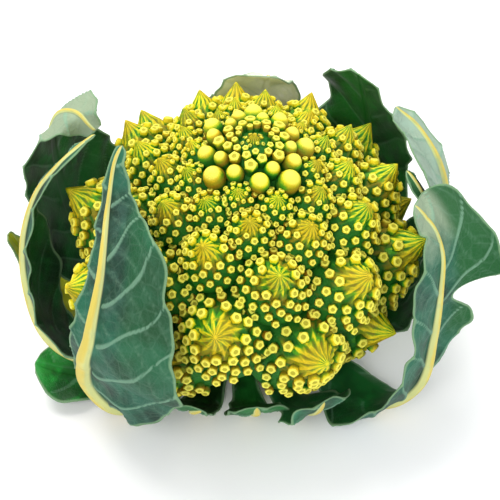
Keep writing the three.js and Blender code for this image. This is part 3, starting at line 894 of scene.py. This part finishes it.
def leaf_sheet(leaf, settings):
    """The middle surface of a leaf: its rib is led straight back into the stem by a heel, across
    the rib the blade bends by two curls, its margins wave and frill, and the blade is quilted
    between its veins."""
    length = rib_path(leaf["rib"], np.zeros(1))[2]
    share = np.linspace(0, 1, int(length / (settings.step / MM)) + 1)
    middle, along, length = rib_path(leaf["rib"], share)
    radius = np.hypot(*middle[0, :2])
    slope = along[0, :2] @ middle[0, :2] / radius
    heel = (radius - STEM_RADIUS + HEEL_DEPTH) / slope * HEEL_ROWS
    middle = np.concatenate([middle[0] - along[0] * heel[:, None], middle])
    along = np.concatenate([np.repeat(along[:1], len(heel), 0), along])
    run = np.concatenate([-heel, share * length])
    share = np.concatenate([np.zeros(len(heel)), share])
    outward = middle - np.array([0, 0, WIDEST_LEVEL])
    outward -= along * np.sum(outward * along, 1, keepdims=True)
    outward = unit(outward)
    roll = np.radians(smooth_run(leaf["roll"], share))[:, None]
    outward = outward * np.cos(roll) + np.cross(along, outward) * np.sin(roll)
    across = np.cross(along, outward)

    half_rib = smooth_run(leaf["rib_width"], share) / 2
    wings = []
    for key, shift in (("cw", 0.0), ("ccw", 0.08)):
        lobes = 1 + leaf["lobe"] * np.sin(2 * np.pi * leaf["lobes"] * (share + shift)
                                          + leaf["phase"])
        teeth = 0.012 * np.sin(run * 0.6 + shift * 9) + 0.03 * np.sin(run * 0.27 + leaf["phase"])
        wings.append(np.maximum(1.2, smooth_run(leaf[key], share) * lobes * (1 + teeth)))
    tip = (wings[0][-1] + wings[1][-1]) / 2 + half_rib[-1]
    last = held((run - (length - tip)) / tip)
    narrow = np.sqrt(np.maximum(1 - last**2.4, 0.004))
    half_rib = half_rib * narrow
    cw, ccw = wings[0] * narrow, wings[1] * narrow

    widest = max(max(leaf["cw"]), max(leaf["ccw"]))
    blade = int(np.clip(widest * BLADE_COLUMNS[0], *BLADE_COLUMNS[1:]))
    out = np.linspace(1, 0, blade + 1)[:-1]
    rib = np.linspace(-1, 1, RIB_COLUMNS)
    offset = np.concatenate([
        -half_rib[:, None] - cw[:, None] * out, half_rib[:, None] * rib,
        half_rib[:, None] + ccw[:, None] * out[::-1],
    ], 1)
    side = np.sign(offset)
    away = np.maximum(np.abs(offset) - half_rib[:, None], 0)
    wing = np.where(side < 0, cw[:, None], ccw[:, None])
    edge = np.clip(wing - away, 0, None)
    line = np.broadcast_to(run[:, None], offset.shape)

    curl = np.where(offset < 0, smooth_run(leaf["cw_curl"], share)[:, None],
                    smooth_run(leaf["ccw_curl"], share)[:, None])
    turn = offset * curl
    flat = np.abs(turn) < 1e-6
    safe = np.where(flat, 1, curl)
    sideways = np.where(flat, offset, np.sin(turn) / safe)
    bend = np.where(flat, 0, (1 - np.cos(turn)) / safe)
    margin = np.minimum(1, np.abs(offset) / 28) ** 2
    phase = leaf["phase"] + np.where(offset < 0, 2, 0)
    lift = leaf["wave"] * margin * np.sin(2 * np.pi * leaf["waves"] * share[:, None] + phase)

    veins, weak, gap = vein_pattern(line, away, side, leaf, settings, wing)
    blade_share = held(away / 4)
    quilt = settings.quilting / MM * (bell(gap / 4.5) - 0.4) * blade_share
    near = held(1 - edge / 9) ** 1.5 * held(wing / 10)
    frill = settings.frill / MM * near * np.sin(line * 0.3 + 1.3 * np.sin(line * 0.11) + phase)
    folds = 1.1 * margin * np.sin(0.16 * line + 0.13 * offset + 2 * leaf["phase"])
    lift = lift + quilt + frill + folds

    points = (middle[:, None] + across[:, None] * sideways[..., None]
              + outward[:, None] * (lift - bend)[..., None])
    crest = np.where(away > 0, 0, np.sqrt(np.maximum(
        1 - np.abs(offset / half_rib[:, None]) ** 2.6, 0)))
    height = smooth_run(leaf["rib_height"], share) * np.clip(narrow, 0.2, 1)
    return {
        "points": clear_of_curd(points, leaf["room"]), "crest": crest,
        "rib_rise": crest * height[:, None], "veins": veins, "weak": weak, "edge": edge,
        "share": np.broadcast_to(share[:, None], offset.shape),
        "line": line, "offset": offset, "blade": blade_share, "away": away * (side > 0),
    }


def sheet_normals(points):
    """Unit normals of a grid of points, towards the leaf's outer face."""
    return unit(np.cross(np.gradient(points, axis=1), np.gradient(points, axis=0)))


def leaf_mesh(sheet, settings):
    """A closed leaf: an outer skin with the rib and veins raised on it, an inner skin with a
    shallow groove, both thinner at the margin, and a strip round the border."""
    points = sheet["points"]
    normals = sheet_normals(points)
    half = MARGIN_HALF + BLADE_GAIN * held(sheet["edge"] / GAIN_REACH)
    relief = settings.vein_height / MM * (sheet["veins"] + 0.5 * sheet["weak"])
    outer = points + normals * (half + sheet["rib_rise"] + relief)[..., None]
    inner = points - normals * (half - 0.35 * sheet["crest"] - 0.3 * relief)[..., None]
    rows, columns = points.shape[:2]
    count = rows * columns
    index = np.arange(count).reshape(rows, columns)
    a, b, c, d = (part.ravel() for part in (
        index[:-1, :-1], index[:-1, 1:], index[1:, 1:], index[1:, :-1]
    ))
    border = np.concatenate([
        index[0, :-1], index[:-1, -1], index[-1, :0:-1], index[:0:-1, 0],
    ])
    after = np.roll(border, -1)
    quads = np.concatenate([
        np.stack([a, b, c, d], -1), np.stack([a, d, c, b], -1) + count,
        np.stack([after, border, border + count, after + count], -1),
    ])
    both = {key: np.concatenate([sheet[key].ravel()] * 2)
            for key in ("crest", "veins", "weak", "edge", "share", "blade", "away")}
    both["outer_face"] = np.repeat([1.0, 0.0], count)
    place = np.stack([sheet["line"], sheet["offset"], np.zeros_like(sheet["line"])], -1)
    both["leaf_place"] = np.concatenate([place.reshape(-1, 3) * MM] * 2)
    return np.concatenate([outer.reshape(-1, 3), inner.reshape(-1, 3)]), quads, both


def leaf_material(leaf, settings):
    """Waxy outer face, dark inner face, cream rib with a yellow line, a net of pale veins, a pale
    margin, and a fine grain; the outer face turns pale from the share given by fold, and takes a
    painted shade of deep green on its counterclockwise part where turned is 1."""
    outer, inner, bloom, _ = LOOKS[leaf["look"]]
    fold, turned = leaf["fold"], leaf["turned"]
    net = Paint(leaf["name"] + "_finish", 0.5, Specular_IOR_Level=0.4)
    outer_face, crest, veins, weak, edge, share, blade, away = (
        net.attribute(name) for name in
        ("outer_face", "crest", "veins", "weak", "edge", "share", "blade", "away")
    )
    place = net.attribute("leaf_place", vector=True)
    broad, cloud = net.noise(38, 3.0), net.noise(120, 4.0)
    fine = net.noise(1400, 2.0)
    mesh_cells = net.cells(150, "DISTANCE_TO_EDGE", vector=place)
    small_cells = net.cells(520, "DISTANCE_TO_EDGE", vector=place)
    netting = (1 - net.step(mesh_cells, 0.015, 0.075)) * blade
    small_net = (1 - net.step(small_cells, 0.02, 0.12)) * blade

    shadow = 0.24 if sum(outer) < BRIGHT_LOOK else 0.8
    dark_outer, dark_inner = (tuple(shadow * v for v in shade) for shade in (outer, inner))
    light_inner = tuple(min(1, 1.6 * v) for v in inner)
    waxy = tuple(0.6 * v + 0.4 * w for v, w in zip(outer, settings.wax))
    tone = net.step(broad, 0.34, 0.66)
    out = net.mix(tone, dark_outer, outer)
    out = net.mix(net.step(cloud, 0.42, 0.74) * bloom, out, waxy)
    folded = net.step(share + (cloud - 0.5) * 0.12, fold - 0.05, fold + 0.08)
    out = net.mix(folded, out, settings.pale)
    # painted shade: the counterclockwise part of the outer face, turned away from the light, is
    # darkened to deep green
    turned_away_shade = net.step(away, 8, 17) * net.step(share, 0.48, 0.62) * turned
    out = net.mix(turned_away_shade, out, settings.deep)
    ins = net.mix(tone, dark_inner, inner)
    ins = net.mix(net.step(cloud, 0.5, 0.8) * 0.6, ins, light_inner)
    body = net.mix(outer_face, ins, out)
    strength = 0.2 + outer_face * 0.38
    lines = (netting * 0.1 + small_net * 0.05 + weak * 0.5 + net.step(veins, 0.25, 0.85)).clamp()
    body = net.mix(lines * strength, body, settings.vein)
    margin = (1 - net.step(edge + (cloud - 0.5) * 1.2, 0.5, 1.7)) * 0.85
    body = net.mix(margin, body, settings.margin)
    streak = net.noise(60, 3.0, vector=place)
    rib = net.mix(net.step(crest * (0.5 + streak), 0.62, 0.98), settings.rib, settings.rib_line)
    rib = net.mix(net.step(cloud, 0.5, 0.85) * 0.5, rib, settings.vein)
    body = net.mix(net.step(crest, 0.02, 0.4) * outer_face, body, rib)
    rough = 0.42 + outer_face * 0.14 + cloud * 0.2
    height = fine * 0.25 - small_net * 0.5 + netting * 0.8 * outer_face
    return net.finish(body, rough, height, reach=0.0003, strength=0.6)


def build_leaves(settings):
    """Every leaf of LEAVES."""
    for line in LEAVES:
        name = line["name"]
        points, quads, attributes = leaf_mesh(leaf_sheet(line, settings), settings)
        finish = leaf_material(line, settings)
        make_piece(name + "_blade", name, points, [quads], attributes, finish)


# ------------ stem


# The stem's profile from the middle of the cut face up to the neck: radius and level
STEM_PROFILE = [
    (0.4, 0.5), (8, 0.45), (15, 0.2), (20, 0), (23.6, 0), (24.8, 0.25), (25.6, 0.9), (26, 2),
    (26, 5), (26, 9), (26, 13), (25.9, 16.6), (24.8, 19.4), (23.4, 22.2), (22.1, 25),
    (NECK_RADIUS + 1, STEM_HEIGHT),
]


def build_stem(settings):
    """The stem: a profile turned about Z, with low flutes and scars on its side and a cut face
    that sinks a little towards the pith."""
    radius, level = np.array(STEM_PROFILE).T
    rings, columns = len(radius), STEM_COLUMNS
    row, _, turn = turned_grid(rings, columns)
    radius, level = radius[row], level[row]
    wall = held((radius - 22) / 3) * held(level / 2)
    dents = 0.35 * np.sin(9 * turn + 0.2 * level) + 0.25 * np.sin(23 * turn - 0.4 * level)
    points = ring_points(radius - 0.6 * wall + dents * wall, turn, level)
    points = np.concatenate([points, [[0, 0, STEM_HEIGHT], [0, 0, 0.5]]])
    cut = np.append(held(1 - level / 0.8), [0, 1])
    out = np.append(radius / STEM_RADIUS, [0.5, 0])
    net = Paint("stem_finish", 0.5, Specular_IOR_Level=0.45)
    face, ring = net.attribute("cut"), net.attribute("out")
    grain, blotch = net.noise(700, 3.0), net.noise(110, 4.0)
    skin = net.mix(net.step(blotch, 0.4, 0.7), settings.skin, settings.blotch)
    wood = net.step(ring + (grain - 0.5) * 0.1, 0.62, 0.78)
    wood = net.mix(wood, settings.flesh, settings.ring)
    wood = net.mix(net.step(blotch, 0.52, 0.74) * 0.5, wood, settings.stain)
    body = net.mix(face, skin, wood)
    net.finish(body, 0.38 + grain * 0.3, grain, reach=0.0004, strength=0.7)
    faces = [ring_quads(rings, columns), end_fans(rings, columns)]
    make_piece("stem_skin", "stem", points, faces, {"cut": cut, "out": out}, net.material)


# ------------ stage


FLOOR_REACH = 6.0
# The point that the photograph's middle shows: right of the origin, and up in the picture
VIEW_RIGHT = 4.86
VIEW_UP = 46.97


# Each light: its place and the width of its square in metres, its share of the power, its tint
LIGHTS = {
    "key_light": ((-0.3, 0.45, 0.95), 0.8, 1.0, (1, 0.98, 0.93)),
    "front_light": ((-0.25, -0.9, 0.8), 0.7, 0.7, (1, 1, 1)),
    "side_light": ((0.9, -0.2, 0.5), 0.8, 0.4, (0.94, 0.98, 1)),
}


def build_stage(settings):
    """A wide pale floor, an even pale sky, soft lights that point at the head, and the camera."""
    mesh = bpy.data.meshes.new("floor")
    signs = ((-1, -1), (1, -1), (1, 1), (-1, 1))
    mesh.from_pydata([(x * FLOOR_REACH, y * FLOOR_REACH, 0) for x, y in signs], [], [(0, 1, 2, 3)])
    floor = bpy.data.objects.new("floor", mesh)
    bpy.context.scene.collection.objects.link(floor)
    net = Paint("floor_finish", 0.9, Specular_IOR_Level=0.1)
    tone = net.noise(3, 2.0)
    off_white = tuple(0.97 * v for v in settings.floor)
    net.finish(net.mix(tone, off_white, settings.floor))
    mesh.materials.append(net.material)

    scene = bpy.context.scene
    world = bpy.data.worlds.new("even_sky")
    world.use_nodes = True
    background = world.node_tree.nodes["Background"]
    background.inputs["Color"].default_value = (0.97, 0.985, 1.0, 1)
    background.inputs["Strength"].default_value = settings.sky
    scene.world = world
    scene.view_settings.view_transform = "Standard"
    for name, (place, size, share, tint) in LIGHTS.items():
        lamp = bpy.data.lights.new(name, "AREA")
        lamp.size = size
        lamp.energy = settings.key * share
        lamp.color = tint
        holder = bpy.data.objects.new(name, lamp)
        scene.collection.objects.link(holder)
        holder.location = place
        aim = Vector((0, 0, WIDEST_LEVEL * MM)) - Vector(place)
        holder.rotation_euler = aim.to_track_quat("-Z", "Y").to_euler()

    tilt = settings.elevation
    view = np.array([0, np.cos(tilt), -np.sin(tilt)])
    up = np.array([0, np.sin(tilt), np.cos(tilt)])
    middle = (np.array([VIEW_RIGHT, 0, 0]) + up * VIEW_UP) * MM
    centre = np.array([0, 0, WIDEST_LEVEL * MM])
    camera_data = bpy.data.cameras.new("camera")
    camera_data.lens = settings.lens
    camera_data.sensor_width = 36
    camera_data.clip_start = 0.05
    camera_data.dof.use_dof = False
    camera = bpy.data.objects.new("camera", camera_data)
    scene.collection.objects.link(camera)
    camera.location = middle + view * (centre @ view - settings.camera_distance)
    camera.rotation_euler = (np.pi / 2 - tilt, 0, 0)
    scene.camera = camera


# ------------ operators


class ROMANESCO_OT_curd(bpy.types.Operator):
    """Build the curd: its core and the beads of every floret"""

    bl_idname = "romanesco.curd"
    bl_label = "Build the curd"

    def execute(self, context):
        build_curd(context.scene.romanesco_curd)
        return {"FINISHED"}


class ROMANESCO_OT_leaves(bpy.types.Operator):
    """Build the leaves that wrap the head"""

    bl_idname = "romanesco.leaves"
    bl_label = "Build the leaves"

    def execute(self, context):
        build_leaves(context.scene.romanesco_leaves)
        return {"FINISHED"}


class ROMANESCO_OT_stem(bpy.types.Operator):
    """Build the cut stem"""

    bl_idname = "romanesco.stem"
    bl_label = "Build the stem"

    def execute(self, context):
        build_stem(context.scene.romanesco_stem)
        return {"FINISHED"}


class ROMANESCO_OT_stage(bpy.types.Operator):
    """Build the floor, the lights and the camera"""

    bl_idname = "romanesco.stage"
    bl_label = "Build the stage"

    def execute(self, context):
        build_stage(context.scene.romanesco_stage)
        return {"FINISHED"}


class ROMANESCO_PT_panel(bpy.types.Panel):
    """Settings and operators of the romanesco head"""

    bl_idname = "ROMANESCO_PT_panel"
    bl_label = "Romanesco head"
    bl_space_type = "VIEW_3D"
    bl_region_type = "UI"
    bl_category = "Romanesco"

    def draw(self, context):
        for operator, name, group in STEPS:
            box = self.layout.box()
            settings = getattr(context.scene, name)
            for key in group.__annotations__:
                box.prop(settings, key)
            box.operator(operator)


STEPS = (
    ("romanesco.curd", "romanesco_curd", CurdSettings),
    ("romanesco.leaves", "romanesco_leaves", LeafSettings),
    ("romanesco.stem", "romanesco_stem", StemSettings),
    ("romanesco.stage", "romanesco_stage", StageSettings),
)
CLASSES = (
    *(group for _, _, group in STEPS), ROMANESCO_OT_curd, ROMANESCO_OT_leaves,
    ROMANESCO_OT_stem, ROMANESCO_OT_stage, ROMANESCO_PT_panel,
)


def register():
    for cls in CLASSES:
        bpy.utils.register_class(cls)
    for _, name, group in STEPS:
        setattr(bpy.types.Scene, name, bpy.props.PointerProperty(type=group))


def unregister():
    for _, name, _ in STEPS:
        delattr(bpy.types.Scene, name)
    for cls in reversed(CLASSES):
        bpy.utils.unregister_class(cls)


def main():
    register()
    bpy.ops.romanesco.stage()
    bpy.ops.romanesco.curd()
    bpy.ops.romanesco.leaves()
    bpy.ops.romanesco.stem()


if __name__ == "__main__":
    main()
